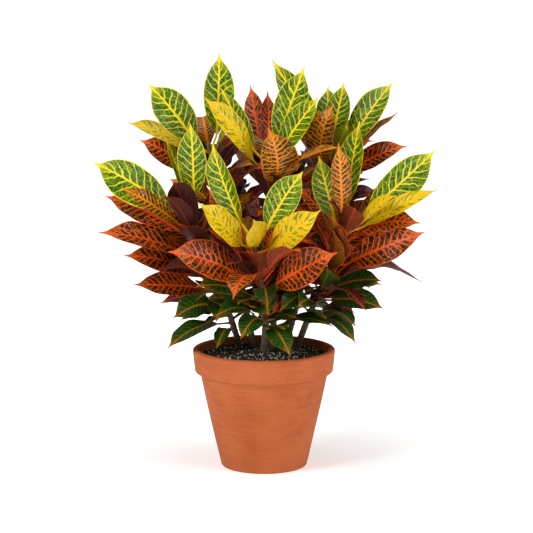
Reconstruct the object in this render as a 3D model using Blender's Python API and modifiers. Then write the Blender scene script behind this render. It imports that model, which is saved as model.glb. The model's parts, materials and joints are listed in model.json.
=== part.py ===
"""A croton house plant in a terracotta pot, built at real size.

Metres, +Z up. The origin is on the pot's axis, on the surface that the pot stands on, and -Y is the front.
The tables below are in millimetres, and MM turns them into metres.
"""

import math

import bmesh
import bpy
from mathutils import Matrix, Vector

MM = 0.001

# The pot: an eight inch terracotta pot with a rolled rim band.
POT_HEIGHT = 167
RIM_RADIUS = 100
RIM_BAND = 33
RIM_THICKNESS = 9
BODY_RADIUS = 90
BASE_RADIUS = 61
WALL = 7.5
FLOOR = 9
DRAIN_RADIUS = 7.5
CORNER = 3.5
POT_STEPS = 48

# The potting mix: a low mound just below the rim.
SOIL_TOP = 161
SOIL_EDGE = 157
SOIL_STEPS = 32

# Two pieces that touch keep this gap.
GAP = 0.3

# Stems: points up the middle of each, then the radius at the foot and at the growing tip.
STEM_DEPTH = 24
STEM_STEPS = 11
STEMS = {
    "front": (((0, 0, 158), (2, -8, 215), (-6, -24, 268), (-16, -50, 335)), 5.5, 3.0),
    "left": (((-34, 45, 158), (-57, 32, 232), (-84, 6, 300), (-108, -20, 365)), 4.6, 2.8),
    "right": (((46, 36, 158), (67, 28, 215), (88, 12, 268), (121, -24, 352)), 5.0, 2.8),
    "top_left": (((-14, 42, 158), (-36, 46, 260), (-60, 38, 360), (-78, 25, 452)), 4.8, 2.8),
    "top_centre": (((12, 30, 158), (15, 40, 260), (8, 32, 350), (2, 12, 432)), 5.0, 2.8),
    "top_right": (((30, 55, 158), (44, 56, 205), (76, 52, 330), (104, 42, 442)), 4.6, 2.8),
}

# Leaves. Each stalk starts on its stem at the given height and the blade ends at the tip.
# Columns: leaf, stem, height, tip (x, y, z), width, arch, lift, turn, colour.
# arch bows the blade towards its upper side, lift raises its middle, and turn rolls its face to the front.
LEAVES = (
    ("front_top_left", "front", 330, (-70, -60, 460), 46, 6, 0, 80, "green_gold"),
    ("front_top_right", "front", 324, (53, -75, 422), 44, 4, 4, 58, "green_gold"),
    ("front_gold_left", "front", 314, (-88, -90, 382), 44, 8, -6, 42, "gold"),
    ("front_gold_right", "front", 306, (77, -95, 372), 46, 8, -6, 45, "gold"),
    ("front_red_left", "front", 262, (-127, -110, 318), 54, 8, 6, 55, "red"),
    ("front_red_right", "front", 254, (97, -111, 317), 52, 7, 0, 58, "red"),
    ("front_curl", "front", 270, (48, -154, 322), 32, 4, 14, -25, "red"),
    ("front_dark_left", "front", 242, (-91, -95, 269), 46, 6, 4, 30, "green"),
    ("front_reach", "front", 268, (-40, -172, 264), 40, 6, 14, 0, "red"),
    ("front_low_left", "front", 212, (-32, -75, 192), 32, 4, 8, 20, "green"),
    ("front_low_right", "front", 198, (36, -98, 173), 34, 6, 8, 20, "green"),
    ("left_long", "left", 352, (-234, -10, 428), 54, 8, 8, 62, "green_gold"),
    ("left_upright", "left", 358, (-99, -45, 486), 42, -4, 0, 50, "green_gold"),
    ("left_orange", "left", 338, (-195, -60, 398), 34, 4, 2, 35, "orange"),
    ("left_red_upper", "left", 322, (-220, -10, 381), 40, 6, 6, 35, "red"),
    ("left_red_fold", "left", 303, (-158, 38, 352), 52, 22, 0, 10, "red"),
    ("left_red_long", "left", 292, (-224, -70, 338), 48, 8, 4, 30, "red"),
    ("left_red_low", "left", 272, (-191, -60, 305), 42, 6, 4, 50, "red"),
    ("left_dark_low", "left", 250, (-179, -50, 263), 40, 6, 0, 45, "red"),
    ("left_green_upper", "left", 224, (-127, 10, 206), 40, 4, 8, 40, "green"),
    ("left_green_lower", "left", 197, (-134, -40, 172), 36, 6, 8, 20, "green"),
    ("right_long", "right", 345, (236, -9, 445), 53, 9, 4, 60, "green_gold"),
    ("right_upright", "right", 348, (132, -20, 486), 46, 4, 0, 80, "green_gold"),
    ("right_gold_low", "right", 334, (236, -56, 395), 32, 4, 2, 20, "gold"),
    ("right_red_fold", "right", 300, (165, 40, 345), 52, 22, 0, 10, "red"),
    ("right_red_upper", "right", 320, (214, -46, 346), 42, 10, 8, 20, "red"),
    ("right_red_long", "right", 283, (219, -66, 338), 50, 7, 1, 58, "red"),
    ("right_arch_dark", "right", 260, (213, -60, 267), 36, 10, 16, -35, "dark"),
    ("right_red_drop", "right", 246, (135, -105, 235), 34, 8, 10, 0, "dark"),
    ("right_green_low", "right", 234, (166, -30, 227), 38, 6, 4, 35, "green"),
    ("right_low_arch", "right", 200, (128, -20, 174), 34, 6, 14, 15, "green"),
    ("right_inner", "right", 328, (75, -22, 439), 38, 4, 0, 70, "green_gold"),
    ("top_right_long", "top_right", 432, (180, 30, 537), 46, 4, 4, 52, "green_gold"),
    ("top_right_upright", "top_right", 438, (112, 38, 537), 34, 4, 0, 80, "green_gold"),
    ("top_right_fold", "top_right", 420, (108, 118, 478), 50, 30, 0, 0, "orange"),
    ("top_right_side", "top_right", 414, (189, 30, 493), 32, 6, 2, 15, "orange"),
    ("top_right_red", "top_right", 396, (199, 15, 450), 42, 6, 4, 45, "red"),
    ("top_cross_left", "top_right", 426, (11, 62, 567), 38, 4, 4, 60, "green_gold"),
    ("top_left_upright", "top_left", 444, (-62, 27, 577), 43, 7, 2, 72, "green_gold"),
    ("top_left_long", "top_left", 440, (-159, 10, 535), 50, 6, 4, 75, "green_gold"),
    ("top_left_gold", "top_left", 424, (-191, 15, 480), 34, 6, 8, 30, "gold"),
    ("top_left_red", "top_left", 404, (-174, 30, 457), 42, 6, 2, 50, "red"),
    ("top_centre_long", "top_centre", 428, (56, 5, 559), 44, 4, 4, 62, "green_gold"),
    ("top_centre_right", "top_centre", 420, (76, -35, 519), 42, 4, 4, 58, "green_gold"),
    ("top_centre_gold", "top_centre", 414, (-82, -30, 517), 38, 6, 6, 50, "gold"),
    ("top_centre_fold", "top_centre", 404, (5, 82, 450), 56, 32, 0, 0, "orange"),
    ("back_top", "top_centre", 386, (54, 160, 505), 44, 10, 0, 0, "green_gold"),
    ("back_left", "top_left", 380, (-110, 165, 410), 50, 10, 4, 0, "red"),
    ("back_right", "top_right", 374, (135, 172, 400), 48, 10, 4, 0, "red"),
    ("back_middle", "top_centre", 340, (15, 172, 350), 48, 12, 6, 0, "orange"),
    ("back_low_left", "top_left", 290, (-115, 160, 290), 46, 10, 8, 0, "red"),
    ("back_low_right", "top_right", 270, (120, 162, 262), 44, 10, 8, 0, "green"),
)

# Half-width of a blade along its length, as shares of the length and of half the width, ending in a drip tip.
BLADE_OUTLINE = (
    (0.0, 0.06), (0.09, 0.36), (0.22, 0.72), (0.38, 0.95), (0.54, 1.0),
    (0.70, 0.86), (0.82, 0.56), (0.91, 0.22), (1.0, 0.03),
)
STALK_SHARE = 0.13
STALK_RADIUS = 1.4
STALK_SWING = 7
BLADE_FOLD = math.tan(math.radians(13))
MIDRIB_TOP = 0.5
MIDRIB_BACK = 1.0

# Name: base colour, roughness, metallic.
FINISHES = {
    "terracotta": ((0.62, 0.22, 0.09), 0.85, 0.0),
    "potting_mix": ((0.030, 0.018, 0.012), 0.95, 0.0),
    "stem_bark": ((0.17, 0.13, 0.07), 0.8, 0.0),
    "leaf_green_gold": ((0.28, 0.42, 0.03), 0.4, 0.0),
    "leaf_gold": ((0.75, 0.55, 0.03), 0.4, 0.0),
    "leaf_orange": ((0.55, 0.20, 0.03), 0.4, 0.0),
    "leaf_red": ((0.45, 0.06, 0.02), 0.4, 0.0),
    "leaf_dark": ((0.12, 0.03, 0.03), 0.4, 0.0),
    "leaf_green": ((0.05, 0.12, 0.02), 0.4, 0.0),
}


def clear_scene():
    for obj in list(bpy.data.objects):
        bpy.data.objects.remove(obj)


def finish(name):
    """The Principled BSDF material of that name, made on first use."""
    material = bpy.data.materials.get(name)
    if material is None:
        colour, roughness, metallic = FINISHES[name]
        material = bpy.data.materials.new(name)
        material.use_nodes = True
        shader = material.node_tree.nodes["Principled BSDF"]
        shader.inputs["Base Color"].default_value = (*colour, 1.0)
        shader.inputs["Roughness"].default_value = roughness
        shader.inputs["Metallic"].default_value = metallic
    return material


def add_object(name, data, collection, finish_name=None):
    obj = bpy.data.objects.new(name, data)
    collection.objects.link(obj)
    if finish_name:
        data.materials.append(finish(finish_name))
    return obj


# --- Turned pieces -------------------------------------------------------------------------------


def turned(name, profile, closed, steps, collection, finish_name):
    """A profile of (radius, height) points in millimetres, turned about Z by a Screw modifier."""
    mesh = bpy.data.meshes.new(name)
    shape = bmesh.new()
    points = [shape.verts.new((radius * MM, 0, height * MM)) for radius, height in profile]
    for first, second in zip(points, points[1:]):
        shape.edges.new((first, second))
    if closed:
        shape.edges.new((points[-1], points[0]))
    shape.to_mesh(mesh)
    shape.free()
    obj = add_object(name, mesh, collection, finish_name)
    screw = obj.modifiers.new("turn", "SCREW")
    screw.steps = screw.render_steps = steps
    screw.use_merge_vertices = True
    screw.merge_threshold = 0.0001
    screw.use_smooth_shade = True
    return obj


def inner_radius(height):
    """Inside radius of the pot at a height: a straight cone up to the band, then the band's own inside."""
    band_foot = POT_HEIGHT - RIM_BAND
    floor_radius = BASE_RADIUS - WALL + 1
    band_radius = BODY_RADIUS - WALL
    mouth_radius = RIM_RADIUS - RIM_THICKNESS
    if height <= band_foot:
        share = (height - FLOOR) / (band_foot - FLOOR)
        return floor_radius + (band_radius - floor_radius) * share
    share = (height - band_foot) / RIM_BAND
    return band_radius + (mouth_radius - band_radius) * share


def add_pot(collection):
    band_foot = POT_HEIGHT - RIM_BAND
    band_radius = RIM_RADIUS - 2.5
    mouth = inner_radius(POT_HEIGHT)
    outside = [
        (RIM_RADIUS - CORNER, POT_HEIGHT),
        (RIM_RADIUS - 0.9, POT_HEIGHT - 1.1),
        (RIM_RADIUS, POT_HEIGHT - CORNER),
        (band_radius, band_foot + CORNER),
        (band_radius - 1.2, band_foot + 0.9),
        (band_radius - CORNER, band_foot),
        (BODY_RADIUS, band_foot - 1),
        (BASE_RADIUS + 0.8, 2.2),
        (BASE_RADIUS - 2, 0),
    ]
    drain = [(DRAIN_RADIUS, 0), (DRAIN_RADIUS, FLOOR)]
    inside = [
        (inner_radius(FLOOR) - 3, FLOOR),
        (inner_radius(FLOOR + 3), FLOOR + 3),
        (inner_radius(band_foot), band_foot),
        (mouth, POT_HEIGHT - 1.5),
        (mouth + 1.5, POT_HEIGHT),
    ]
    return turned("pot", outside + drain + inside, True, POT_STEPS, collection, "terracotta")


def soil_height(radius):
    """Top of the potting mix at a distance from the pot's axis."""
    edge = inner_radius(SOIL_EDGE)
    return SOIL_EDGE + (SOIL_TOP - SOIL_EDGE) * math.cos(math.pi / 2 * min(1, radius / edge))


def add_soil(collection):
    band_foot = POT_HEIGHT - RIM_BAND
    edge = inner_radius(SOIL_EDGE) - 2 * GAP
    rings = 5
    top = [(edge * i / rings, soil_height(edge * i / rings)) for i in range(rings + 1)]
    wall = [
        (inner_radius(band_foot) - 2 * GAP, band_foot),
        (inner_radius(FLOOR + 3) - 2 * GAP, FLOOR + 3 + GAP),
        (inner_radius(FLOOR) - 3 - GAP, FLOOR + GAP),
        (0, FLOOR + GAP),
    ]
    return turned("soil", top + wall, False, SOIL_STEPS, collection, "potting_mix")


# --- Stems ---------------------------------------------------------------------------------------


def smooth_line(points, steps):
    """Points along a Catmull-Rom curve through the given ones, evenly spaced in its parameter."""
    line = [Vector(p) for p in points]
    line = [2 * line[0] - line[1], *line, 2 * line[-1] - line[-2]]
    spans = len(line) - 3
    found = []
    for i in range(steps + 1):
        place = min(i / steps * spans, spans - 1e-9)
        span = int(place)
        t = place - span
        a, b, c, d = line[span : span + 4]
        found.append(
            0.5 * (2 * b + (c - a) * t + (2 * a - 5 * b + 4 * c - d) * t**2 + (3 * b - 3 * c + d - a) * t**3)
        )
    return found


class Stem:
    """One stem's centre line, from its foot in the potting mix to its growing tip, in millimetres."""

    def __init__(self, points, foot_radius, tip_radius):
        above = smooth_line(points, STEM_STEPS)
        start = (above[1] - above[0]).normalized()
        self.foot = above[0] - start * STEM_DEPTH
        self.line = [self.foot, *above]
        self.radii = [
            foot_radius + (tip_radius - foot_radius) * max(0, i - 1) / STEM_STEPS
            for i in range(len(self.line))
        ]
        self.start = start

    def at(self, height):
        """(point, direction, radius) of the stem at a height above the ground."""
        for i in range(len(self.line) - 1):
            low, high = self.line[i], self.line[i + 1]
            if height <= high.z or i == len(self.line) - 2:
                share = min(1, (height - low.z) / (high.z - low.z))
                radius = self.radii[i] + (self.radii[i + 1] - self.radii[i]) * share
                return low.lerp(high, share), (high - low).normalized(), radius
        return None


def add_stem(name, stem, collection):
    """A tapered tube along the stem: a curve object with a bevel and filled caps."""
    curve = bpy.data.curves.new(name, "CURVE")
    curve.dimensions = "3D"
    curve.bevel_depth = MM
    curve.bevel_resolution = 2
    curve.use_fill_caps = True
    spline = curve.splines.new("POLY")
    spline.points.add(len(stem.line) - 1)
    for point, place, radius in zip(spline.points, stem.line, stem.radii):
        point.co = (*(place * MM), 1)
        point.radius = radius
    return add_object(name, curve, collection, "stem_bark")


def bore_soil(soil, stems, cutters):
    """The holes in the potting mix that the stems stand in."""
    for name, stem in stems.items():
        radius = stem.radii[0] + GAP
        length = STEM_DEPTH + GAP + 20
        centre = stem.foot - stem.start * GAP + stem.start * length / 2
        shape = bmesh.new()
        bmesh.ops.create_cone(
            shape, cap_ends=True, segments=12, radius1=radius * MM / math.cos(math.pi / 12),
            radius2=radius * MM / math.cos(math.pi / 12), depth=length * MM,
        )
        turn = stem.start.to_track_quat("Z", "Y").to_matrix().to_4x4()
        shape.transform(Matrix.Translation(centre * MM) @ turn)
        mesh = bpy.data.meshes.new("bore_" + name)
        shape.to_mesh(mesh)
        shape.free()
        cutter = add_object("bore_" + name, mesh, cutters)
        cutter.hide_render = True
        cutter.display_type = "WIRE"
        cut = soil.modifiers.new("bore_" + name, "BOOLEAN")
        cut.operation = "DIFFERENCE"
        cut.solver = "EXACT"
        cut.object = cutter


# --- Leaves --------------------------------------------------------------------------------------


def leaf_frame(root, tip, growth, turn):
    """The unit normal of a blade's upper side: the stem's growth side, rolled to the front by turn degrees."""
    chord = (tip - root).normalized()
    up = (growth - growth.dot(chord) * chord).normalized()
    side = chord.cross(up)
    if side.dot(Vector((0, -1, 0))) < 0:
        side = -side
    angle = math.radians(turn)
    return up * math.cos(angle) + side * math.sin(angle)


def leaf_sections(stem, height, tip, width, arch, lift, turn):
    """Four points for each section of a leaf, from the stalk's foot to the drip tip, in millimetres."""
    centre, growth, stem_radius = stem.at(height)
    tip = Vector(tip)
    out = tip - centre
    out = (out - out.dot(growth) * growth).normalized()
    root = centre + out * (stem_radius + 1.3 * GAP)
    normal = leaf_frame(root, tip, growth, turn)
    middle = (root + tip) / 2 + normal * arch + Vector((0, 0, lift))
    control = 2 * middle - (root + tip) / 2

    def place(t):
        swing = out * STALK_SWING * min(1, t / STALK_SHARE) * (1 - t)
        return root * (1 - t) ** 2 + control * 2 * t * (1 - t) + tip * t**2 + swing

    across = out.cross(growth)
    sections = [
        [root + across * STALK_RADIUS, root + growth * STALK_RADIUS,
         root - across * STALK_RADIUS, root - growth * STALK_RADIUS]
    ]
    stations = [(0.5 * STALK_SHARE, None)]
    stations += [(STALK_SHARE + (1 - STALK_SHARE) * share, part) for share, part in BLADE_OUTLINE]
    for t, part in stations:
        centre = place(t)
        along = (place(min(1, t + 0.01)) - place(t - 0.01)).normalized()
        face = (normal - normal.dot(along) * along).normalized()
        side = along.cross(face)
        half = STALK_RADIUS if part is None else max(width / 2 * part, 0.2)
        rise = face * half * BLADE_FOLD if part else Vector((0, 0, 0))
        thin = min(1, half / 3)
        top = STALK_RADIUS if part is None else MIDRIB_TOP * thin
        back = STALK_RADIUS if part is None else MIDRIB_BACK * thin
        sections.append(
            [centre - side * half + rise, centre + face * top, centre + side * half + rise, centre - face * back]
        )
    if (sections[0][0] - sections[1][0]).length > (sections[0][2] - sections[1][0]).length:
        sections[0][0], sections[0][2] = sections[0][2], sections[0][0]
    return sections


def add_leaf(name, sections, collection, finish_name):
    """One leaf: the face at the stalk's foot is extruded from section to section, up to the drip tip."""
    shape = bmesh.new()
    ring = [shape.verts.new(point * MM) for point in sections[0]]
    foot = face = shape.faces.new(ring)
    for section in sections[1:]:
        grown = bmesh.ops.extrude_discrete_faces(shape, faces=[face])["faces"][0]
        if face is foot:
            foot = shape.faces.new(list(reversed(ring)))
        face = grown
        places = [point * MM for point in section]
        corners = list(face.verts)
        for vert in corners:
            index = min(range(4), key=lambda i: (ring[i].co - vert.co).length)
            vert.index = index
        for vert in corners:
            vert.co = places[vert.index]
        ring = sorted(corners, key=lambda vert: vert.index)
    bmesh.ops.recalc_face_normals(shape, faces=shape.faces[:])
    mesh = bpy.data.meshes.new(name)
    shape.to_mesh(mesh)
    shape.free()
    return add_object(name, mesh, collection, finish_name)


def main():
    clear_scene()
    plant = bpy.data.collections.new("potted_croton")
    cutters = bpy.data.collections.new("cutters")
    bpy.context.scene.collection.children.link(plant)
    bpy.context.scene.collection.children.link(cutters)

    add_pot(plant)
    soil = add_soil(plant)
    stems = {name: Stem(*values) for name, values in STEMS.items()}
    for name, stem in stems.items():
        add_stem("stem_" + name, stem, plant)
    bore_soil(soil, stems, cutters)
    for name, stem_name, height, tip, width, arch, lift, turn, colour in LEAVES:
        sections = leaf_sections(stems[stem_name], height, tip, width, arch, lift, turn)
        add_leaf("leaf_" + name, sections, plant, "leaf_" + colour)


main()
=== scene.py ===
import json
import math
import random

import bmesh
import bpy
import numpy as np
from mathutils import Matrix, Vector, noise
from mathutils.bvhtree import BVHTree


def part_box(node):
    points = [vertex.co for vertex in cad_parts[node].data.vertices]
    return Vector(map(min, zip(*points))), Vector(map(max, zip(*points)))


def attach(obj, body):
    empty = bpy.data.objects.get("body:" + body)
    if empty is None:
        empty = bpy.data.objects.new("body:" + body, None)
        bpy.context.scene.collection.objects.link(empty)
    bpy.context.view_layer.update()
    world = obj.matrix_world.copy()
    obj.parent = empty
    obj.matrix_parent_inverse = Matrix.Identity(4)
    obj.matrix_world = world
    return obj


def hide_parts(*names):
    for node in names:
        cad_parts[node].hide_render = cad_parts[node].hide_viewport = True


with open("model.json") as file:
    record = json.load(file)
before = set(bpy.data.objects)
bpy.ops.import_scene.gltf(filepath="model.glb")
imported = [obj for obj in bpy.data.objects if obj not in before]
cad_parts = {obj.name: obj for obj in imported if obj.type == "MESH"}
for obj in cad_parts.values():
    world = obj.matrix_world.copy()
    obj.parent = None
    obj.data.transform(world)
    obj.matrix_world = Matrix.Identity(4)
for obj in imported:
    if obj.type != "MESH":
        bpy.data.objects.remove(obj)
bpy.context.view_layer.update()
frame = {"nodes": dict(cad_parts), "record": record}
nodes = frame["nodes"]
slotOf = {row["node"]: row["material_slot"] for row in frame["record"]["subparts"]}
mm = 0.001
print("frame loaded:", len(nodes), "nodes")


# camera, light and floor

cameraSettings = {"place": (0.0035, -2.294, 0.616), "pitch": 8.28, "lens": 112.1, "sensor": 36}
lightSettings = {
    "key": {"place": (-1.8, -1.3, 1.9), "size": 1.2, "power": 42},
    "fill": {"place": (1.9, -1.2, 1.5), "size": 1.3, "power": 26},
    "top": {"place": (0.1, 0.2, 2.4), "size": 1.2, "power": 15},
}
lightAim = (0, 0, 0.28)
worldLight = {"seen": 1.0, "cast": 0.20}
floorSettings = {
    "size": 40, "colour": (0.93, 0.93, 0.93), "roughness": 0.9, "specular": 0.1,
    "glow": (0.40, 1.0), "reach": (0.16, 0.75),
}


def deselectAll():
    for item in bpy.context.selected_objects:
        item.select_set(False)


def makeActive(item):
    deselectAll()
    item.select_set(True)
    bpy.context.view_layer.objects.active = item


def addCamera():
    bpy.ops.object.camera_add(location=cameraSettings["place"])
    camera = bpy.context.object
    camera.rotation_euler = (math.radians(90 - cameraSettings["pitch"]), 0, 0)
    camera.data.lens = cameraSettings["lens"]
    camera.data.sensor_width = cameraSettings["sensor"]
    bpy.context.scene.camera = camera


def addLights():
    for name, values in lightSettings.items():
        bpy.ops.object.light_add(type="AREA", location=values["place"])
        light = bpy.context.object
        light.name = name + "Light"
        light.data.size = values["size"]
        light.data.energy = values["power"]
        aim = Vector(lightAim) - light.location
        light.rotation_euler = aim.to_track_quat("-Z", "Y").to_euler()
    world = bpy.data.worlds.new("softStudio")
    world.use_nodes = True
    backdrop = world.node_tree.nodes["Background"]
    rays = world.node_tree.nodes.new("ShaderNodeLightPath")
    strength = world.node_tree.nodes.new("ShaderNodeMapRange")
    strength.inputs["To Min"].default_value = worldLight["cast"]
    strength.inputs["To Max"].default_value = worldLight["seen"]
    world.node_tree.links.new(rays.outputs["Is Camera Ray"], strength.inputs["Value"])
    world.node_tree.links.new(strength.outputs["Result"], backdrop.inputs["Strength"])
    backdrop.inputs["Color"].default_value = (1, 1, 1, 1)
    bpy.context.scene.world = world
    bpy.context.scene.view_settings.view_transform = "Standard"


def addFloor():
    deselectAll()
    bpy.ops.mesh.primitive_plane_add(size=floorSettings["size"])
    floor = bpy.context.object
    floor.name = "studioFloor"
    paint = bpy.data.materials.new("paleFloor")
    paint.use_nodes = True
    shader = paint.node_tree.nodes["Principled BSDF"]
    shader.inputs["Base Color"].default_value = (*floorSettings["colour"], 1)
    shader.inputs["Roughness"].default_value = floorSettings["roughness"]
    shader.inputs["Specular IOR Level"].default_value = floorSettings["specular"]
    shader.inputs["Emission Color"].default_value = (1, 1, 1, 1)
    # the floor glows more with distance, so that the plant's shadow shows and the far floor stays white
    links = paint.node_tree.links
    spot = paint.node_tree.nodes.new("ShaderNodeTexCoord")
    away = paint.node_tree.nodes.new("ShaderNodeVectorMath")
    away.operation = "LENGTH"
    glow = paint.node_tree.nodes.new("ShaderNodeMapRange")
    glow.interpolation_type = "SMOOTHSTEP"
    for side, reach, strength in zip(("Min", "Max"), floorSettings["reach"], floorSettings["glow"]):
        glow.inputs["From " + side].default_value = reach
        glow.inputs["To " + side].default_value = strength
    links.new(spot.outputs["Object"], away.inputs[0])
    links.new(away.outputs["Value"], glow.inputs["Value"])
    links.new(glow.outputs["Result"], shader.inputs["Emission Strength"])
    floor.data.materials.append(paint)


addCamera()
addLights()
addFloor()
print("camera, lights and floor are ready")


# small helpers for shader nodes


class Tree:
    def __init__(self, tree):
        self.tree = tree

    def node(self, kind, **values):
        made = self.tree.nodes.new(kind)
        for name, value in values.items():
            setattr(made, name, value)
        return made

    def feed(self, socket, value):
        if isinstance(value, bpy.types.NodeSocket):
            self.tree.links.new(value, socket)
        elif value is not None:
            socket.default_value = value

    def math(self, operation, first, second=None):
        made = self.node("ShaderNodeMath", operation=operation)
        for socket, value in zip(made.inputs, (first, second)):
            self.feed(socket, value)
        return made.outputs[0]

    def fade(self, value, low, high, first=0.0, last=1.0):  # smooth step from first to last
        made = self.node("ShaderNodeMapRange", interpolation_type="SMOOTHSTEP")
        sockets = ("Value", "From Min", "From Max", "To Min", "To Max")
        for name, item in zip(sockets, (value, low, high, first, last)):
            self.feed(made.inputs[name], item)
        return made.outputs["Result"]

    def mix(self, share, first, second):
        made = self.node("ShaderNodeMix", data_type="RGBA")
        self.feed(made.inputs["Factor"], share)
        for socket, value in ((made.inputs[6], first), (made.inputs[7], second)):
            self.feed(socket, (*value, 1) if isinstance(value, tuple) and len(value) == 3 else value)
        return made.outputs[2]

    def noise(self, place, scale, detail=2.0, roughness=0.5):
        made = self.node("ShaderNodeTexNoise")
        sockets = ("Vector", "Scale", "Detail", "Roughness")
        for name, value in zip(sockets, (place, scale, detail, roughness)):
            self.feed(made.inputs[name], value)
        return made.outputs["Fac"]

    def cellEdges(self, place, scale):
        made = self.node("ShaderNodeTexVoronoi", feature="DISTANCE_TO_EDGE")
        self.feed(made.inputs["Vector"], place)
        self.feed(made.inputs["Scale"], scale)
        return made.outputs["Distance"]

    def join(self, x, y, z=0.0):
        made = self.node("ShaderNodeCombineXYZ")
        for socket, value in zip(made.inputs, (x, y, z)):
            self.feed(socket, value)
        return made.outputs[0]

    def split(self, vector):
        made = self.node("ShaderNodeSeparateXYZ")
        self.feed(made.inputs[0], vector)
        return made.outputs


def newMaterial(name, roughness):
    material = bpy.data.materials.new(name)
    material.use_nodes = True
    shader = material.node_tree.nodes["Principled BSDF"]
    shader.inputs["Roughness"].default_value = roughness
    return material, Tree(material.node_tree), shader


def addBump(tree, shader, height, strength, distance):
    bump = tree.node("ShaderNodeBump")
    bump.inputs["Strength"].default_value = strength
    bump.inputs["Distance"].default_value = distance
    tree.feed(bump.inputs["Height"], height)
    tree.feed(shader.inputs["Normal"], bump.outputs[0])


# leaf finish: one group draws the veins of every leaf

leafSettings = {
    "around": 24, "along": 46, "stalkShare": 0.13, "stalkRadius": 1.4 * mm, "bladeThickness": 0.55 * mm,
    "ribTop": 0.25 * mm, "ribBack": 0.9 * mm, "ribWidth": 0.9 * mm, "quilt": 0.32 * mm, "wave": 1.1 * mm,
    "fold": math.tan(math.radians(13)), "pairs": 11, "sweep": 1.7, "alternate": 0.22,
    "specular": 0.3, "bump": (0.55, 0.0006),
}


def veinGroup():
    group = bpy.data.node_groups.new("leafVeins", "ShaderNodeTree")
    for name in ("Pairs", "Sweep", "Vein Width", "Net", "Margin"):
        group.interface.new_socket(name, in_out="INPUT", socket_type="NodeSocketFloat")
    for name in ("Midrib", "Veins", "Net", "Margin", "Tip", "Height", "Under", "Patches"):
        group.interface.new_socket(name, in_out="OUTPUT", socket_type="NodeSocketFloat")
    t = Tree(group)
    given = t.node("NodeGroupInput").outputs
    result = t.node("NodeGroupOutput").inputs
    place = t.split(t.node("ShaderNodeAttribute", attribute_name="leafPlace").outputs["Vector"])
    look = t.split(t.node("ShaderNodeAttribute", attribute_name="leafLook").outputs["Vector"])
    along, across, distance = place
    seed, under = look[0], look[1]
    side = t.math("SIGN", across)
    spread = t.math("ABSOLUTE", across)
    flat = t.join(t.math("MULTIPLY", along, 12.0), t.math("MULTIPLY", distance, 1.1), seed)
    wobble = t.math("SUBTRACT", t.noise(flat, 0.8), 0.5)
    # lateral veins run from the midrib out and forward, and the two sides alternate
    counted = t.math("MULTIPLY", along, given["Pairs"])
    rise = t.math("SUBTRACT", counted, t.math("MULTIPLY", spread, given["Sweep"]))
    shift = t.math("MULTIPLY", side, leafSettings["alternate"])
    rise = t.math("ADD", rise, t.math("ADD", shift, t.math("MULTIPLY", wobble, 0.9)))
    rise = t.math("ADD", rise, seed)
    near = t.math("MULTIPLY", t.math("ABSOLUTE", t.math("SUBTRACT", t.math("FRACT", rise), 0.5)), 2.0)
    width = t.math("MULTIPLY", given["Vein Width"], t.math("SUBTRACT", 1.35, spread))
    veins = t.fade(near, t.math("MULTIPLY", width, 0.5), t.math("MULTIPLY", width, 2.0), 1.0, 0.0)
    # a net of fine veins between them
    net = t.cellEdges(flat, 1.15)
    net = t.fade(net, 0.02, t.math("MULTIPLY", given["Net"], 0.14), 1.0, 0.0)
    swept = t.join(t.math("MULTIPLY", rise, 1.9), t.math("MULTIPLY", distance, 1.0), seed)
    patches = t.fade(t.noise(swept, 1.3, 3.0, 0.6), 0.47, 0.60)
    net = t.math("MULTIPLY", net, t.fade(t.noise(flat, 0.7), 0.35, 0.6, 0.25, 1.0))
    midrib = t.fade(t.math("ABSOLUTE", distance), 0.07, t.fade(along, 0.0, 1.0, 0.28, 0.12), 1.0, 0.0)
    stalk = t.fade(along, -0.02, 0.01, 1.0, 0.0)
    midrib = t.math("MAXIMUM", midrib, stalk)
    edge = t.math("SUBTRACT", 1.0, spread)
    edge = t.math("ADD", edge, t.math("MULTIPLY", wobble, 0.10))
    margin = t.fade(edge, 0.02, t.math("MULTIPLY", given["Margin"], 0.08), 1.0, 0.0)
    margin = t.math("MAXIMUM", margin, t.fade(along, 0.86, 0.96))
    tip = t.fade(along, 0.72, 1.0)
    bulge = t.math("MULTIPLY", t.math("SUBTRACT", 1.0, veins), 0.6)
    height = t.math("ADD", bulge, t.math("MULTIPLY", t.noise(flat, 5.0), 0.15))
    height = t.math("SUBTRACT", height, t.math("MULTIPLY", midrib, 0.5))
    for name, value in (
        ("Midrib", midrib), ("Veins", veins), ("Net", net), ("Margin", margin), ("Tip", tip),
        ("Height", height), ("Under", under), ("Patches", patches),
    ):
        t.feed(result[name], value)
    return group


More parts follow.
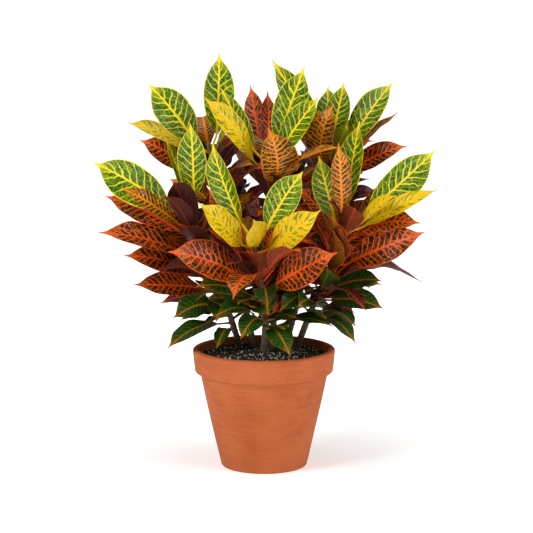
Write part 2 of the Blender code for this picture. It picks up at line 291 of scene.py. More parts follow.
leafFinishes = {
    "leaf_green_gold": {
        "field": (0.026, 0.095, 0.002), "light": (0.115, 0.260, 0.003), "vein": (0.78, 0.70, 0.004),
        "rib": (0.98, 0.68, 0.006), "margin": (0.88, 0.70, 0.005), "tip": (0.72, 0.66, 0.006),
        "under": (0.22, 0.32, 0.010), "net": 0.42, "width": 0.13, "pairs": 10, "patch": 0.75,
        "edge": 0.85, "roughness": 0.36,
    },
    "leaf_gold": {
        "field": (0.84, 0.53, 0.004), "light": (0.10, 0.20, 0.004), "vein": (0.90, 0.58, 0.006),
        "rib": (0.86, 0.60, 0.008), "margin": (0.88, 0.56, 0.006), "tip": (0.86, 0.56, 0.006),
        "under": (0.60, 0.42, 0.010), "net": 0.35, "width": 0.20, "pairs": 11, "patch": 0.9,
        "edge": 1.6, "roughness": 0.38,
    },
    "leaf_orange": {
        "field": (0.024, 0.022, 0.002), "light": (0.22, 0.080, 0.003), "vein": (0.92, 0.29, 0.004),
        "rib": (0.92, 0.26, 0.006), "margin": (0.74, 0.14, 0.004), "tip": (0.94, 0.40, 0.006),
        "under": (0.36, 0.12, 0.010), "net": 0.7, "width": 0.20, "pairs": 15, "patch": 0.5,
        "edge": 0.8, "roughness": 0.36,
    },
    "leaf_red": {
        "field": (0.008, 0.014, 0.003), "light": (0.085, 0.018, 0.003), "vein": (0.86, 0.115, 0.005),
        "rib": (0.86, 0.095, 0.008), "margin": (0.84, 0.075, 0.005), "tip": (0.88, 0.20, 0.008),
        "under": (0.22, 0.040, 0.016), "net": 0.75, "width": 0.17, "pairs": 13, "patch": 0.55,
        "edge": 0.9, "roughness": 0.36,
    },
    "leaf_dark": {
        "field": (0.014, 0.006, 0.003), "light": (0.048, 0.009, 0.004), "vein": (0.34, 0.030, 0.005),
        "rib": (0.50, 0.050, 0.008), "margin": (0.42, 0.034, 0.006), "tip": (0.44, 0.055, 0.008),
        "under": (0.085, 0.026, 0.020), "net": 0.3, "width": 0.12, "pairs": 12, "patch": 0.5,
        "edge": 0.7, "roughness": 0.30,
    },
    "leaf_green": {
        "field": (0.010, 0.048, 0.003), "light": (0.026, 0.100, 0.005), "vein": (0.085, 0.17, 0.008),
        "rib": (0.46, 0.19, 0.012), "margin": (0.20, 0.11, 0.008), "tip": (0.42, 0.14, 0.008),
        "under": (0.07, 0.13, 0.014), "net": 0.25, "width": 0.10, "pairs": 10, "patch": 0.6,
        "edge": 0.5, "roughness": 0.32,
    },
}


def leafMaterial(name, group):
    look = leafFinishes[name]
    material, t, shader = newMaterial(name, look["roughness"])
    veins = t.node("ShaderNodeGroup", node_tree=group)
    veins.inputs["Sweep"].default_value = leafSettings["sweep"]
    for socket, key in (("Pairs", "pairs"), ("Vein Width", "width"), ("Net", "net"), ("Margin", "edge")):
        veins.inputs[socket].default_value = look[key]
    out = veins.outputs
    colour = t.mix(t.math("MULTIPLY", out["Patches"], look["patch"]), look["field"], look["light"])
    colour = t.mix(t.math("MULTIPLY", out["Net"], look["net"]), colour, look["vein"])
    colour = t.mix(out["Veins"], colour, look["vein"])
    colour = t.mix(t.math("MULTIPLY", out["Tip"], 0.55), colour, look["tip"])
    colour = t.mix(out["Margin"], colour, look["margin"])
    colour = t.mix(out["Midrib"], colour, look["rib"])
    colour = t.mix(t.math("MULTIPLY", out["Under"], 0.62), colour, look["under"])
    t.feed(shader.inputs["Base Color"], colour)
    rough = t.fade(out["Patches"], 0.0, 1.0, look["roughness"] - 0.03, look["roughness"] + 0.06)
    t.feed(shader.inputs["Roughness"], t.math("ADD", rough, t.math("MULTIPLY", out["Under"], 0.18)))
    shader.inputs["Specular IOR Level"].default_value = leafSettings["specular"]
    addBump(t, shader, out["Height"], *leafSettings["bump"])
    return material


veinsOfLeaves = veinGroup()
leafMaterials = {name: leafMaterial(name, veinsOfLeaves) for name in leafFinishes}
print("leaf finishes are ready")


# the leaf: a ring of points extruded into a closed sleeve, which each leaf bends to its own line


def makeSleeve():
    deselectAll()
    bpy.ops.mesh.primitive_circle_add(
        vertices=leafSettings["around"], radius=1, fill_type="NGON", rotation=(math.pi / 2, 0, 0),
    )
    sleeve = bpy.context.object
    sleeve.name = "leafSleeve"
    bpy.ops.object.transform_apply(location=True, rotation=True, scale=True)
    bpy.ops.object.mode_set(mode="EDIT")
    bpy.ops.mesh.select_all(action="SELECT")
    step = {"value": (0, 1 / leafSettings["along"], 0)}
    for _ in range(leafSettings["along"]):
        bpy.ops.mesh.extrude_region_move(TRANSFORM_OT_translate=step)
    bpy.ops.mesh.select_all(action="SELECT")
    bpy.ops.mesh.normals_make_consistent(inside=False)
    bpy.ops.object.mode_set(mode="OBJECT")
    sleeve.data.shade_smooth()
    return sleeve


def smoothThrough(places, values, wanted):  # a Hermite curve through the values, with even slopes
    places, values, wanted = np.array(places), np.array(values, float), np.asarray(wanted, float)
    slopes = np.gradient(values, places, axis=0)
    index = np.clip(np.searchsorted(places, wanted, side="right") - 1, 0, len(places) - 2)
    gap = places[index + 1] - places[index]
    t = (wanted - places[index]) / gap
    if values.ndim > 1:
        t, gap = t[:, None], gap[:, None]
    h = ((1 + 2 * t) * (1 - t) ** 2, t * (1 - t) ** 2, t * t * (3 - 2 * t), t * t * (t - 1))
    start = h[0] * values[index] + h[1] * gap * slopes[index]
    return start + h[2] * values[index + 1] + h[3] * gap * slopes[index + 1]


# the sections of a CAD leaf, as shares of its length: two on the stalk, the rest on the blade
stationPlaces = [0, 0.5 * 0.13] + [0.13 + 0.87 * s for s in (0, 0.09, 0.22, 0.38, 0.54, 0.70, 0.82, 0.91, 1)]
bladeShape = {
    "places": (0, 0.06, 0.15, 0.28, 0.42, 0.55, 0.68, 0.78, 0.86, 0.91, 0.95, 1),
    "halves": (0.07, 0.25, 0.55, 0.84, 0.98, 1.0, 0.88, 0.66, 0.36, 0.16, 0.07, 0.015),
}


def nodeRings(node, first):  # the rings of points of a swept CAD node, from the ring that first() finds
    shape = bmesh.new()
    shape.from_mesh(node.data)
    bmesh.ops.remove_doubles(shape, verts=shape.verts, dist=1e-6)
    ring = first(shape)
    rings = []
    seen = set()
    while ring:
        rings.append([vert.co.copy() for vert in ring])
        seen.update(ring)
        ring = list({edge.other_vert(vert): None for vert in ring for edge in vert.link_edges
                     if edge.other_vert(vert) not in seen})
    shape.free()
    return rings


def leafLine(node):  # the centres and faces of a CAD leaf's sections, foot first, and its widest half
    def tipRing(shape):
        edge = min(shape.edges, key=lambda e: e.calc_length())
        middle = (edge.verts[0].co + edge.verts[1].co) / 2
        return sorted(shape.verts, key=lambda vert: (vert.co - middle).length)[:4]

    rings = nodeRings(node, tipRing)[::-1]
    centres, faces, halves = [], [], []
    for ring in rings:
        pair = max(((a, b) for a in ring for b in ring), key=lambda p: (p[0] - p[1]).length)
        middle = (pair[0] + pair[1]) / 2
        top, back = sorted((p for p in ring if p not in pair), key=lambda p: (p - middle).length)
        centres.append((2 * top + back) / 3)
        faces.append((middle - back).normalized())
        halves.append((pair[0] - pair[1]).length / 2)
    for i in (1, 0):  # the stalk is round, so it takes the blade's face
        centres[i] = sum(rings[i], Vector()) / 4
        faces[i] = faces[2]
    return np.array(centres), np.array(faces), max(halves)


def bendLeaf(name, sleeve, centres, faces, half, slotName, seed, node=None):
    draw = random.Random(seed)
    s = leafSettings
    data = sleeve.data.copy()
    leaf = bpy.data.objects.new(name, data)
    bpy.context.scene.collection.objects.link(leaf)
    flat = np.empty(len(data.vertices) * 3)
    data.vertices.foreach_get("co", flat)
    flat = flat.reshape(-1, 3)
    t = np.clip(flat[:, 1], 0, 1)
    angle = np.arctan2(flat[:, 2], flat[:, 0])
    across = np.cos(angle)
    across = np.sign(across) * np.abs(across) ** 0.85
    upper = np.sin(angle)
    centre = smoothThrough(stationPlaces, centres, t)
    ahead = smoothThrough(stationPlaces, centres, np.minimum(1, t + 0.004))
    behind = smoothThrough(stationPlaces, centres, np.maximum(0, t - 0.004))
    way = ahead - behind
    way /= np.linalg.norm(way, axis=1)[:, None]
    face = smoothThrough(stationPlaces, faces, t)
    face -= (face * way).sum(1)[:, None] * way
    face /= np.linalg.norm(face, axis=1)[:, None]
    side = np.cross(way, face)
    u = np.clip((t - s["stalkShare"]) / (1 - s["stalkShare"]), 0, 1)
    h = half * np.maximum(smoothThrough(bladeShape["places"], bladeShape["halves"], u), 0.01)
    spread = np.abs(across)
    blade = np.clip((t - s["stalkShare"]) / 0.03, 0, 1)
    blade = blade * blade * (3 - 2 * blade)
    # blade: folded along the midrib, quilted between the lateral veins, with a gently waved margin
    rise = s["fold"] * h * spread**1.2 * draw.uniform(0.8, 1.3)
    phase = u * s["pairs"] - spread * s["sweep"] + s["alternate"] * np.sign(across)
    quilt = s["quilt"] * np.abs(np.sin(np.pi * phase)) * (1 - spread**4) * np.minimum(1, h / (8 * mm))
    wave = s["wave"] * draw.uniform(0.4, 1.6)
    wave *= np.sin(2 * np.pi * (u * draw.uniform(2.0, 3.4) + draw.random()))
    wave *= spread**2 * np.minimum(1, h / (12 * mm)) * np.where(across > 0, 1.0, draw.uniform(-1, 1))
    curl = (u - 0.8).clip(0) ** 2 * draw.uniform(-0.05, 0.12)
    thick = s["bladeThickness"] / 2 * (1 - 0.6 * spread)
    rib = np.exp(-((across * h / s["ribWidth"]) ** 2)) * (1 - 0.6 * u)
    skin = np.where(upper >= 0, thick + s["ribTop"] * rib, -thick - s["ribBack"] * rib)
    skin *= np.minimum(1, np.abs(upper) * 4)
    bladePoint = centre + side * (across * h)[:, None] + face * (rise + quilt + wave + curl + skin)[:, None]
    stalkRound = s["stalkRadius"] * (1 + 0.5 * np.exp(-((t / 0.02) ** 2)))
    stalkPoint = centre + side * (np.cos(angle) * stalkRound)[:, None] + face * (upper * stalkRound)[:, None]
    points = stalkPoint * (1 - blade)[:, None] + bladePoint * blade[:, None]
    data.vertices.foreach_set("co", points.ravel())
    place = np.stack([np.where(t < s["stalkShare"], -0.05, u), across, across * h / (10 * mm)], 1)
    look = np.stack([np.full(len(t), draw.uniform(0, 20)), np.where(upper < -0.01, 1.0, 0.0), t * 0], 1)
    for label, values in (("leafPlace", place), ("leafLook", look)):
        data.attributes.new(label, "FLOAT_VECTOR", "POINT").data.foreach_set("vector", values.ravel())
    data.update()
    data.materials.clear()
    data.materials.append(leafMaterials[slotName])
    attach(leaf, "root")
    if node:
        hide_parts(node)


sleeve = makeSleeve()
leafCount = 0
for number, (name, node) in enumerate(sorted(nodes.items())):
    if name.startswith("leaf_"):
        bendLeaf(name + "_blade", sleeve, *leafLine(node), slotOf[name], number, name)
        leafCount += 1
print("leaves on the frame:", leafCount)


# stems

stemSettings = {
    "sections": 13, "around": 14, "step": 2.0 * mm, "scarEvery": 9 * mm, "scar": 0.5 * mm,
    "scarWidth": 0.14, "grain": 0.25 * mm,
}


def stemLine(node):
    def footRing(shape):
        ringSize = len(shape.verts) // stemSettings["sections"]
        return sorted(shape.verts, key=lambda vert: vert.co.z)[:ringSize]

    rings = nodeRings(node, footRing)
    centres = [sum(ring, Vector()) / len(ring) for ring in rings]
    radii = [(ring[0] - centre).length for ring, centre in zip(rings, centres)]
    return centres, radii


stemLines = {name: stemLine(node) for name, node in nodes.items() if name.startswith("stem_")}
print("stem lines read:", len(stemLines))


def stemAt(name, height):  # the point, direction and radius of a stem at a height
    centres, radii = stemLines[name]
    for i in range(len(centres) - 1):
        if height <= centres[i + 1].z or i == len(centres) - 2:
            share = min(1, (height - centres[i].z) / (centres[i + 1].z - centres[i].z))
            way = (centres[i + 1] - centres[i]).normalized()
            return centres[i].lerp(centres[i + 1], share), way, radii[i] + (radii[i + 1] - radii[i]) * share


# leaves that only fill the crown: first those that show, then more along each stem

shownLeaves = (
    # name, stem, height, tip, width, arch, lift, turn, finish
    ("front_gold_cup", "front", 318, (-14, -82, 358), 42, -8, 0, 30, "gold"),
    ("front_low_side", "front", 208, (46, -48, 216), 28, 4, 4, 20, "green"),
    ("front_hang", "front", 250, (6, -88, 236), 32, 4, 14, 0, "green"),
    ("front_small_red", "front", 318, (-77, -40, 396), 30, 4, 0, 40, "red"),
    ("left_upright_back", "left", 350, (-138, 4, 463), 36, 4, 0, 70, "green_gold"),
    ("left_arch_dark", "left", 264, (-145, -78, 281), 38, 6, 12, -35, "dark"),
    ("left_bud", "left", 208, (-84, 0, 197), 16, 2, 4, 10, "green"),
    ("left_drop", "left", 190, (-66, -22, 168), 22, 3, 8, 20, "green"),
    ("right_gold_narrow", "right", 342, (100, -54, 459), 30, 4, 0, 60, "orange"),
    ("right_gold_short", "right", 340, (178, -64, 389), 34, 4, 0, 30, "gold"),
    ("right_centre_fold", "right", 270, (95, -74, 342), 40, 8, 0, 30, "orange"),
    ("right_small_red", "right", 300, (71, -24, 346), 18, 3, 0, 30, "red"),
    ("right_green_mid", "right", 250, (164, -12, 264), 34, 4, 4, 35, "green"),
    ("right_drop_small", "right", 226, (46, -64, 236), 26, 4, 6, 20, "green"),
    ("right_low_back", "right", 204, (110, 30, 186), 30, 5, 10, 10, "green"),
    ("top_right_back", "top_right", 438, (91, 92, 530), 36, 4, 0, 60, "green_gold"),
    ("top_left_inner", "top_left", 426, (-47, -18, 478), 34, 4, 0, 40, "green_gold"),
    ("top_left_fold", "top_left", 430, (-88, 97, 485), 34, 22, 0, 0, "orange"),
    ("top_centre_green", "top_centre", 430, (-60, 16, 530), 28, 4, 0, 60, "green_gold"),
    ("top_centre_dark_fold", "top_centre", 362, (-5, -34, 418), 44, 14, 0, 20, "dark"),
    ("top_centre_side", "top_centre", 398, (104, -58, 452), 30, 6, 6, 10, "orange"),
    ("back_tip_left", "top_centre", 420, (-19, 108, 529), 30, 6, 0, 20, "red"),
    ("back_tip_right", "top_centre", 414, (4, 88, 522), 28, 6, 0, 30, "red"),
    ("back_tip_far", "top_right", 428, (150, 80, 470), 34, 6, 0, 20, "red"),
    ("right_back_orange", "right", 330, (190, 10, 400), 34, 6, 4, 30, "orange"),
    ("top_centre_round", "top_centre", 396, (6, -14, 476), 58, 22, 0, 180, "orange"),
    ("top_right_round", "top_right", 408, (97, 12, 508), 56, 18, 0, 180, "orange"),
    ("top_left_deep", "top_left", 400, (-118, -10, 458), 36, 8, 0, 30, "red"),
)
fillSettings = {
    "turn": 137.5, "retry": 29, "reach": (60, 112), "widths": (30, 44), "tries": 18, "coarse": 10,
    "lowest": 176, "widest": 175, "frontGap": (-20, 330), "redFrom": 250, "mixedFrom": 400,
    "spans": {
        "stem_front": (196, 300), "stem_left": (200, 340), "stem_right": (200, 330),
        "stem_top_left": (215, 415), "stem_top_centre": (215, 400), "stem_top_right": (215, 410),
    },
}


def linedLeaf(stemName, height, tip, arch, lift, turn):
    centre, growth, radius = stemAt(stemName, height * mm)
    tip = Vector(tip) * mm
    out = tip - centre
    out = (out - out.dot(growth) * growth).normalized()
    root = centre + out * (radius + 0.4 * mm)
    chord = (tip - root).normalized()
    up = (growth - growth.dot(chord) * chord).normalized()
    side = chord.cross(up)
    if side.y > 0:
        side = -side
    angle = math.radians(turn)
    normal = up * math.cos(angle) + side * math.sin(angle)
    middle = (root + tip) / 2 + normal * arch * mm + Vector((0, 0, lift * mm))
    control = 2 * middle - (root + tip) / 2
    centres, faces = [], []
    for t in stationPlaces:
        swing = out * 7 * mm * min(1, t / 0.13) * (1 - t)
        centres.append(root * (1 - t) ** 2 + control * 2 * t * (1 - t) + tip * t**2 + swing)
        faces.append(normal)
    return np.array(centres), np.array(faces)


def coarseRibbon(centres, faces, half):  # a flat ribbon of the leaf's outline, for testing room
    points, quads = [], []
    t = np.linspace(0.12, 1, fillSettings["coarse"])
    centre = smoothThrough(stationPlaces, centres, t)
    face = smoothThrough(stationPlaces, faces, t)
    way = np.gradient(centre, axis=0)
    side = np.cross(way, face)
    side /= np.linalg.norm(side, axis=1)[:, None]
    normal = np.cross(side, way)
    normal /= np.linalg.norm(normal, axis=1)[:, None]
    widths = half * smoothThrough(bladeShape["places"], bladeShape["halves"], (t - 0.12) / 0.88)
    for c, w, h, n in zip(centre, side, widths, normal):
        lifted = c + n * h * leafSettings["fold"]
        points += [Vector(lifted - w * h), Vector(c), Vector(lifted + w * h)]
    for i in range(len(t) - 1):
        a = 3 * i
        quads += [(a, a + 1, a + 4, a + 3), (a + 1, a + 2, a + 5, a + 4)]
    return BVHTree.FromPolygons(points, quads)


taken = [coarseRibbon(*leafLine(node)) for name, node in nodes.items() if name.startswith("leaf_")]
for number, (name, stem, height, tip, width, arch, lift, turn, finish) in enumerate(shownLeaves):
    centres, faces = linedLeaf("stem_" + stem, height, tip, arch, lift, turn)
    half = width / 2 * mm
    taken.append(coarseRibbon(centres, faces, half))
    bendLeaf("leaf_" + name + "_blade", sleeve, centres, faces, half, "leaf_" + finish, 200 + number)
print("more leaves that show:", len(shownLeaves))


def fillFinish(height, draw):
    if height > fillSettings["mixedFrom"]:
        return draw.choice(("leaf_red", "leaf_orange", "leaf_dark", "leaf_green_gold", "leaf_dark"))
    if height > fillSettings["redFrom"]:
        return draw.choice(("leaf_red", "leaf_dark", "leaf_dark", "leaf_orange", "leaf_red"))
    return draw.choice(("leaf_green", "leaf_green", "leaf_dark"))


def fillCrown(seed, shrink, step):  # shrink is the share of a leaf's width that needs room
    draw = random.Random(seed)
    front, frontTop = fillSettings["frontGap"]
    made = 0
    for stem, (low, high) in fillSettings["spans"].items():
        angle = draw.uniform(0, 360)
        height = low
        while height < high:
            angle += fillSettings["turn"]
            for attempt in range(fillSettings["tries"]):
                turned = math.radians(angle + attempt * fillSettings["retry"])
                share = (height - low) / (high - low)
                reach = draw.uniform(*fillSettings["reach"])
                climb = math.radians(draw.uniform(-5, 20) + 45 * share**1.5 + (0 if height > 240 else -8))
                centre = stemAt(stem, height * mm)[0] / mm
                level = math.cos(climb)
                way = Vector((math.cos(turned) * level, math.sin(turned) * level, math.sin(climb)))
                tip = centre + way * reach
                half = draw.uniform(*fillSettings["widths"]) / 2 * mm
                if tip.z < fillSettings["lowest"] or tip.xy.length > fillSettings["widest"]:
                    continue
                if tip.y < front and height > frontTop:
                    continue
                bend = draw.uniform(4, 12), draw.uniform(0, 8), draw.uniform(0, 25)
                centres, faces = linedLeaf(stem, height, tip, *bend)
                ribbon = coarseRibbon(centres, faces, half * shrink)
                if any(ribbon.overlap(other) for other in taken):
                    continue
                taken.append(ribbon)
                finish = fillFinish(height, draw)
                name = "leaf_fill_" + str(seed) + "_" + str(made + 1)
                bendLeaf(name, sleeve, centres, faces, half, finish, 1000 * seed + made)
                made += 1
                break
            height += step
    return made


filled = fillCrown(12, 0.85, 6) + fillCrown(13, 0.6, 14)
print("leaves that fill the crown:", filled)
bpy.data.objects.remove(sleeve)


# bark


def barkMaterial():
    material, t, shader = newMaterial("stem_bark", 0.75)
    place = t.node("ShaderNodeTexCoord").outputs["Object"]
    height = t.split(place)[2]
    grain = t.noise(place, 420.0, 4.0, 0.6)
    rings = t.noise(t.join(0.0, 0.0, height), 260.0, 3.0)
    woody = t.mix(grain, (0.060, 0.042, 0.022), (0.23, 0.17, 0.10))
    woody = t.mix(t.fade(rings, 0.45, 0.6), woody, (0.11, 0.085, 0.045))
    young = t.mix(grain, (0.10, 0.13, 0.02), (0.26, 0.26, 0.05))
    colour = t.mix(t.fade(height, 0.24, 0.36), woody, young)
    t.feed(shader.inputs["Base Color"], colour)
    addBump(t, shader, t.math("ADD", grain, rings), 0.7, 0.0008)
    return material


def makeStem(name):
    centres, radii = stemLines[name]
    length = sum((b - a).length for a, b in zip(centres, centres[1:]))
    count = int(length / stemSettings["step"])
    places = np.cumsum([0] + [(b - a).length for a, b in zip(centres, centres[1:])]) / length
    wanted = np.linspace(0, 1, count + 1)
    line = smoothThrough(places, np.array(centres), wanted)
    size = np.interp(wanted, places, radii)
    deselectAll()
    bpy.ops.mesh.primitive_circle_add(vertices=stemSettings["around"], radius=1, fill_type="NGON")
    stem = bpy.context.object
    stem.name = name + "_bark"
    bpy.ops.object.mode_set(mode="EDIT")
    bpy.ops.mesh.select_all(action="SELECT")
    for _ in range(count):
        bpy.ops.mesh.extrude_region_move(TRANSFORM_OT_translate={"value": (0, 0, 1 / count)})
    bpy.ops.mesh.select_all(action="SELECT")
    bpy.ops.mesh.normals_make_consistent(inside=False)
    bpy.ops.object.mode_set(mode="OBJECT")
    ways = np.gradient(line, axis=0)
    for vert in stem.data.vertices:
        i = min(count, max(0, round(vert.co.z * count)))
        way = Vector(ways[i]).normalized()
        turn = Vector((0, 0, 1)).rotation_difference(way)
        scar = (i * stemSettings["step"] / stemSettings["scarEvery"]) % 1
        angle = math.atan2(vert.co.y, vert.co.x)
        ridge = math.exp(-((scar - 0.5) / stemSettings["scarWidth"]) ** 2)
        bulge = stemSettings["scar"] * ridge * (0.6 + 0.4 * math.cos(angle * 2 + i * 0.21))
        bulge += stemSettings["grain"] * noise.noise(Vector((math.cos(angle), math.sin(angle), i * 0.35)))
        radius = size[i] + bulge
        vert.co = Vector(line[i]) + turn @ Vector((vert.co.x * radius, vert.co.y * radius, 0))
    stem.data.shade_smooth()
    stem.data.materials.append(bark)
    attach(stem, "root")
    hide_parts(name)


bark = barkMaterial()
for stemName in stemLines:
    makeStem(stemName)
print("stems are ready")


# pot

potLow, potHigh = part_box("pot")
potSettings = {
    "radius": (potHigh.x - potLow.x) / 2, "height": potHigh.z, "band": 0.198, "thickness": 0.09, "body": 0.90,
    "base": 0.61, "wall": 0.075, "floor": 0.054, "drain": 0.075, "steps": 144,
    "bandTaper": 0.975, "lip": 0.035, "uneven": 0.35,
}


def potMaterial():
    material, t, shader = newMaterial("terracotta", 0.82)
    place = t.node("ShaderNodeTexCoord").outputs["Object"]
    height = t.split(place)[2]
    blotch = t.noise(place, 14.0, 4.0, 0.6)
    fine = t.noise(place, 260.0, 4.0, 0.65)
    stretched = t.node("ShaderNodeMapping")
    t.feed(stretched.inputs["Vector"], place)
    stretched.inputs["Scale"].default_value = (1, 1, 9)
    lines = t.noise(stretched.outputs[0], 26.0, 3.0, 0.55)
    colour = t.mix(t.fade(blotch, 0.3, 0.7), (0.40, 0.085, 0.020), (0.50, 0.122, 0.034))
    colour = t.mix(t.math("MULTIPLY", t.fade(lines, 0.4, 0.7), 0.35), colour, (0.54, 0.150, 0.050))
    colour = t.mix(t.math("MULTIPLY", t.fade(fine, 0.52, 0.75), 0.25), colour, (0.32, 0.070, 0.018))
    bloom = t.math("MULTIPLY", t.fade(t.noise(place, 38.0, 5.0, 0.7), 0.55, 0.8), 0.22)
    colour = t.mix(bloom, colour, (0.62, 0.24, 0.11))
    colour = t.mix(t.math("MULTIPLY", t.fade(height, 0.05, 0.0), 0.25), colour, (0.50, 0.14, 0.035))
    t.feed(shader.inputs["Base Color"], colour)
    t.feed(shader.inputs["Roughness"], t.fade(fine, 0.3, 0.7, 0.74, 0.92))
    shader.inputs["Specular IOR Level"].default_value = 0.3
    addBump(t, shader, t.math("ADD", t.math("MULTIPLY", lines, 0.8), fine), 0.35, 0.0007)
    return material


def potProfile():
    s = potSettings
    radius, height = s["radius"], s["height"]
    bandFoot = height * (1 - s["band"])
    bandRadius = radius * s["bandTaper"]
    points = []

    def corner(centre, size, start, stop, count=6):
        for i in range(count + 1):
            angle = math.radians(start + (stop - start) * i / count)
            points.append((centre[0] + size * math.cos(angle), centre[1] + size * math.sin(angle)))

    lip = radius * s["lip"]
    corner((radius - lip, height - lip), lip, 90, 0)
    corner((bandRadius - lip * 0.9, bandFoot + lip * 0.9), lip * 0.9, 0, -90)
    body = radius * s["body"]
    foot = radius * s["base"]
    corner((body + 1.2 * mm, bandFoot - 1.2 * mm), 1.2 * mm, 90, 180, 3)
    for i in range(1, 10):  # the body's side, very slightly bowed
        share = i / 10
        bow = 0.5 * mm * math.sin(math.pi * share)
        level = (bandFoot - 1.2 * mm) * (1 - share) + 2.2 * mm * share
        points.append((body + (foot - body) * share + bow, level))
    corner((foot - 2.2 * mm, 2.2 * mm), 2.2 * mm, 0, -90, 4)
    drain = radius * s["drain"]
    floor = height * s["floor"]
    points += [(drain + 1.5 * mm, 0), (drain, 1.5 * mm), (drain, floor - 1.5 * mm), (drain + 1.5 * mm, floor)]
    inside = foot - radius * s["wall"]
    points += [(inside - 3 * mm, floor), (inside + 1.5 * mm, floor + 3.5 * mm)]
    inner = radius * (1 - s["thickness"])
    points.append((body - radius * s["wall"], bandFoot))
    points.append((inner, height - 2.5 * mm))
    corner((inner + 2.5 * mm, height - 2.5 * mm), 2.5 * mm, 180, 90, 4)
    return points


def makePot():
    deselectAll()
    profile = potProfile()
    bpy.ops.mesh.primitive_circle_add(vertices=len(profile), radius=0.05, rotation=(math.pi / 2, 0, 0))
    pot = bpy.context.object
    pot.name = "pot_turned"
    bpy.ops.object.transform_apply(location=True, rotation=True, scale=True)
    for vert, (radius, height) in zip(pot.data.vertices, profile):
        vert.co = (radius, 0, height)
    bpy.ops.object.mode_set(mode="EDIT")
    bpy.ops.mesh.select_all(action="SELECT")
    bpy.ops.mesh.spin(steps=potSettings["steps"], angle=2 * math.pi, center=(0, 0, 0), axis=(0, 0, 1))
    bpy.ops.mesh.select_all(action="SELECT")
    bpy.ops.mesh.remove_doubles(threshold=0.00001)
    bpy.ops.mesh.normals_make_consistent(inside=False)
    bpy.ops.object.mode_set(mode="OBJECT")
    for vert in pot.data.vertices:  # a hand-thrown unevenness
        away = Vector((vert.co.x, vert.co.y, 0))
        if away.length > 0.03:
            uneven = noise.noise(Vector((away.x * 9, away.y * 9, vert.co.z * 14)))
            vert.co += away.normalized() * potSettings["uneven"] * mm * uneven
    makeActive(pot)
    bpy.ops.object.shade_smooth_by_angle(angle=math.radians(40))
    pot.data.materials.append(potMaterial())
    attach(pot, "root")
    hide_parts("pot")


makePot()
print("pot is ready")


# potting mix

soilSettings = {
    "radius": 88.0 * mm, "edge": 157 * mm, "top": 161 * mm, "around": 96, "cuts": 5, "lumps": 1.6 * mm,
    "perlite": 420, "bits": 620, "clods": 900,
}


def soilHeight(x, y):
    far = min(1, math.hypot(x, y) / soilSettings["radius"])
    base = soilSettings["edge"] + (soilSettings["top"] - soilSettings["edge"]) * math.cos(math.pi / 2 * far)
    lumps = noise.fractal(Vector((x * 90, y * 90, 3.1)), 0.9, 2.1, 4)
    return base + soilSettings["lumps"] * lumps * 0.8


def mixMaterial(name, dark, light, roughness, scale):
    material, t, shader = newMaterial(name, roughness)
    place = t.node("ShaderNodeTexCoord").outputs["Object"]
    grain = t.noise(place, scale, 5.0, 0.7)
    t.feed(shader.inputs["Base Color"], t.mix(t.fade(grain, 0.35, 0.7), dark, light))
    addBump(t, shader, grain, 0.8, 0.0012)
    return material


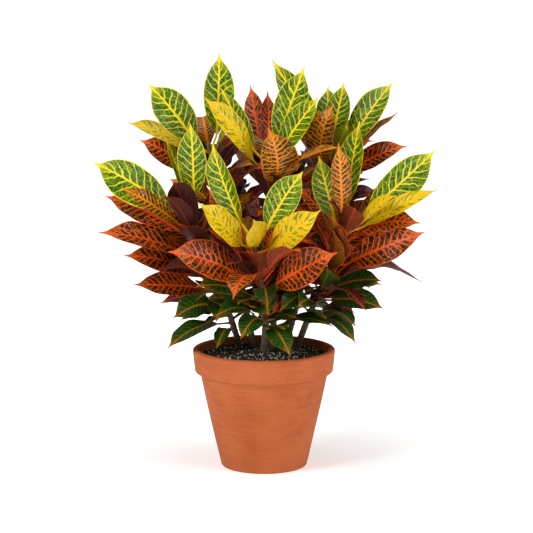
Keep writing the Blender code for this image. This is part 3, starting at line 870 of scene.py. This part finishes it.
def makeSoil():
    deselectAll()
    bpy.ops.mesh.primitive_cylinder_add(
        vertices=soilSettings["around"], radius=soilSettings["radius"], depth=0.02,
        location=(0, 0, soilSettings["edge"] - 0.012), end_fill_type="TRIFAN",
    )
    soil = bpy.context.object
    soil.name = "soil_mix"
    bpy.ops.object.transform_apply(location=True, rotation=True, scale=True)
    bpy.ops.object.mode_set(mode="EDIT")
    bpy.ops.mesh.select_all(action="DESELECT")
    bpy.ops.mesh.select_mode(type="FACE")
    shape = bmesh.from_edit_mesh(soil.data)
    for item in shape.faces:
        item.select_set(item.normal.z > 0.9)
    bmesh.update_edit_mesh(soil.data)
    for _ in range(soilSettings["cuts"]):
        bpy.ops.mesh.subdivide(number_cuts=1)
    bpy.ops.object.mode_set(mode="OBJECT")
    for vert in soil.data.vertices:
        if vert.co.z > soilSettings["edge"] - 0.003:
            vert.co.z = soilHeight(vert.co.x, vert.co.y)
    soil.data.shade_smooth()
    finish = mixMaterial("potting_mix", (0.006, 0.004, 0.0025), (0.035, 0.020, 0.011), 0.95, 300.0)
    soil.data.materials.append(finish)
    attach(soil, "root")
    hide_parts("soil")


def scatter(name, count, sizes, squash, material, seed):
    draw = random.Random(seed)
    bpy.ops.mesh.primitive_ico_sphere_add(subdivisions=1, radius=1)
    model = bpy.context.object
    points = [vert.co.copy() for vert in model.data.vertices]
    faces = [tuple(item.vertices) for item in model.data.polygons]
    bpy.data.objects.remove(model)
    allPoints, allFaces = [], []
    for _ in range(count):
        far = soilSettings["radius"] * math.sqrt(draw.random()) * 0.975
        around = draw.uniform(0, 2 * math.pi)
        x, y = far * math.cos(around), far * math.sin(around)
        size = draw.uniform(*sizes) / 2 * mm
        spin = Vector((draw.gauss(0, 1), draw.gauss(0, 1), draw.gauss(0, 1))).to_track_quat("Z", "Y")
        z = soilHeight(x, y) + size * draw.uniform(-0.1, 0.5) * squash[2]
        start = len(allPoints)
        for point in points:
            rough = 1 + draw.uniform(-0.22, 0.22)
            shaped = Vector((point.x * squash[0], point.y * squash[1], point.z * squash[2])) * size * rough
            allPoints.append(spin @ shaped + Vector((x, y, z)))
        allFaces += [tuple(start + i for i in item) for item in faces]
    data = bpy.data.meshes.new(name)
    data.from_pydata(allPoints, [], allFaces)
    data.materials.append(material)
    item = bpy.data.objects.new(name, data)
    bpy.context.scene.collection.objects.link(item)
    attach(item, "root")


makeSoil()
perlite = mixMaterial("perlite", (0.55, 0.52, 0.44), (0.80, 0.78, 0.70), 0.85, 600.0)
barkBits = mixMaterial("bark_bits", (0.020, 0.011, 0.006), (0.110, 0.055, 0.026), 0.85, 400.0)
clodFinish = mixMaterial("clods", (0.008, 0.005, 0.003), (0.050, 0.030, 0.017), 0.95, 500.0)
scatter("soil_perlite", soilSettings["perlite"], (1.6, 3.4), (1, 0.9, 0.8), perlite, 31)
scatter("soil_bark_bits", soilSettings["bits"], (2.5, 6.5), (1, 0.5, 0.3), barkBits, 32)
scatter("soil_clods", soilSettings["clods"], (1.8, 4.5), (1, 0.9, 0.8), clodFinish, 33)
print("potting mix is ready")
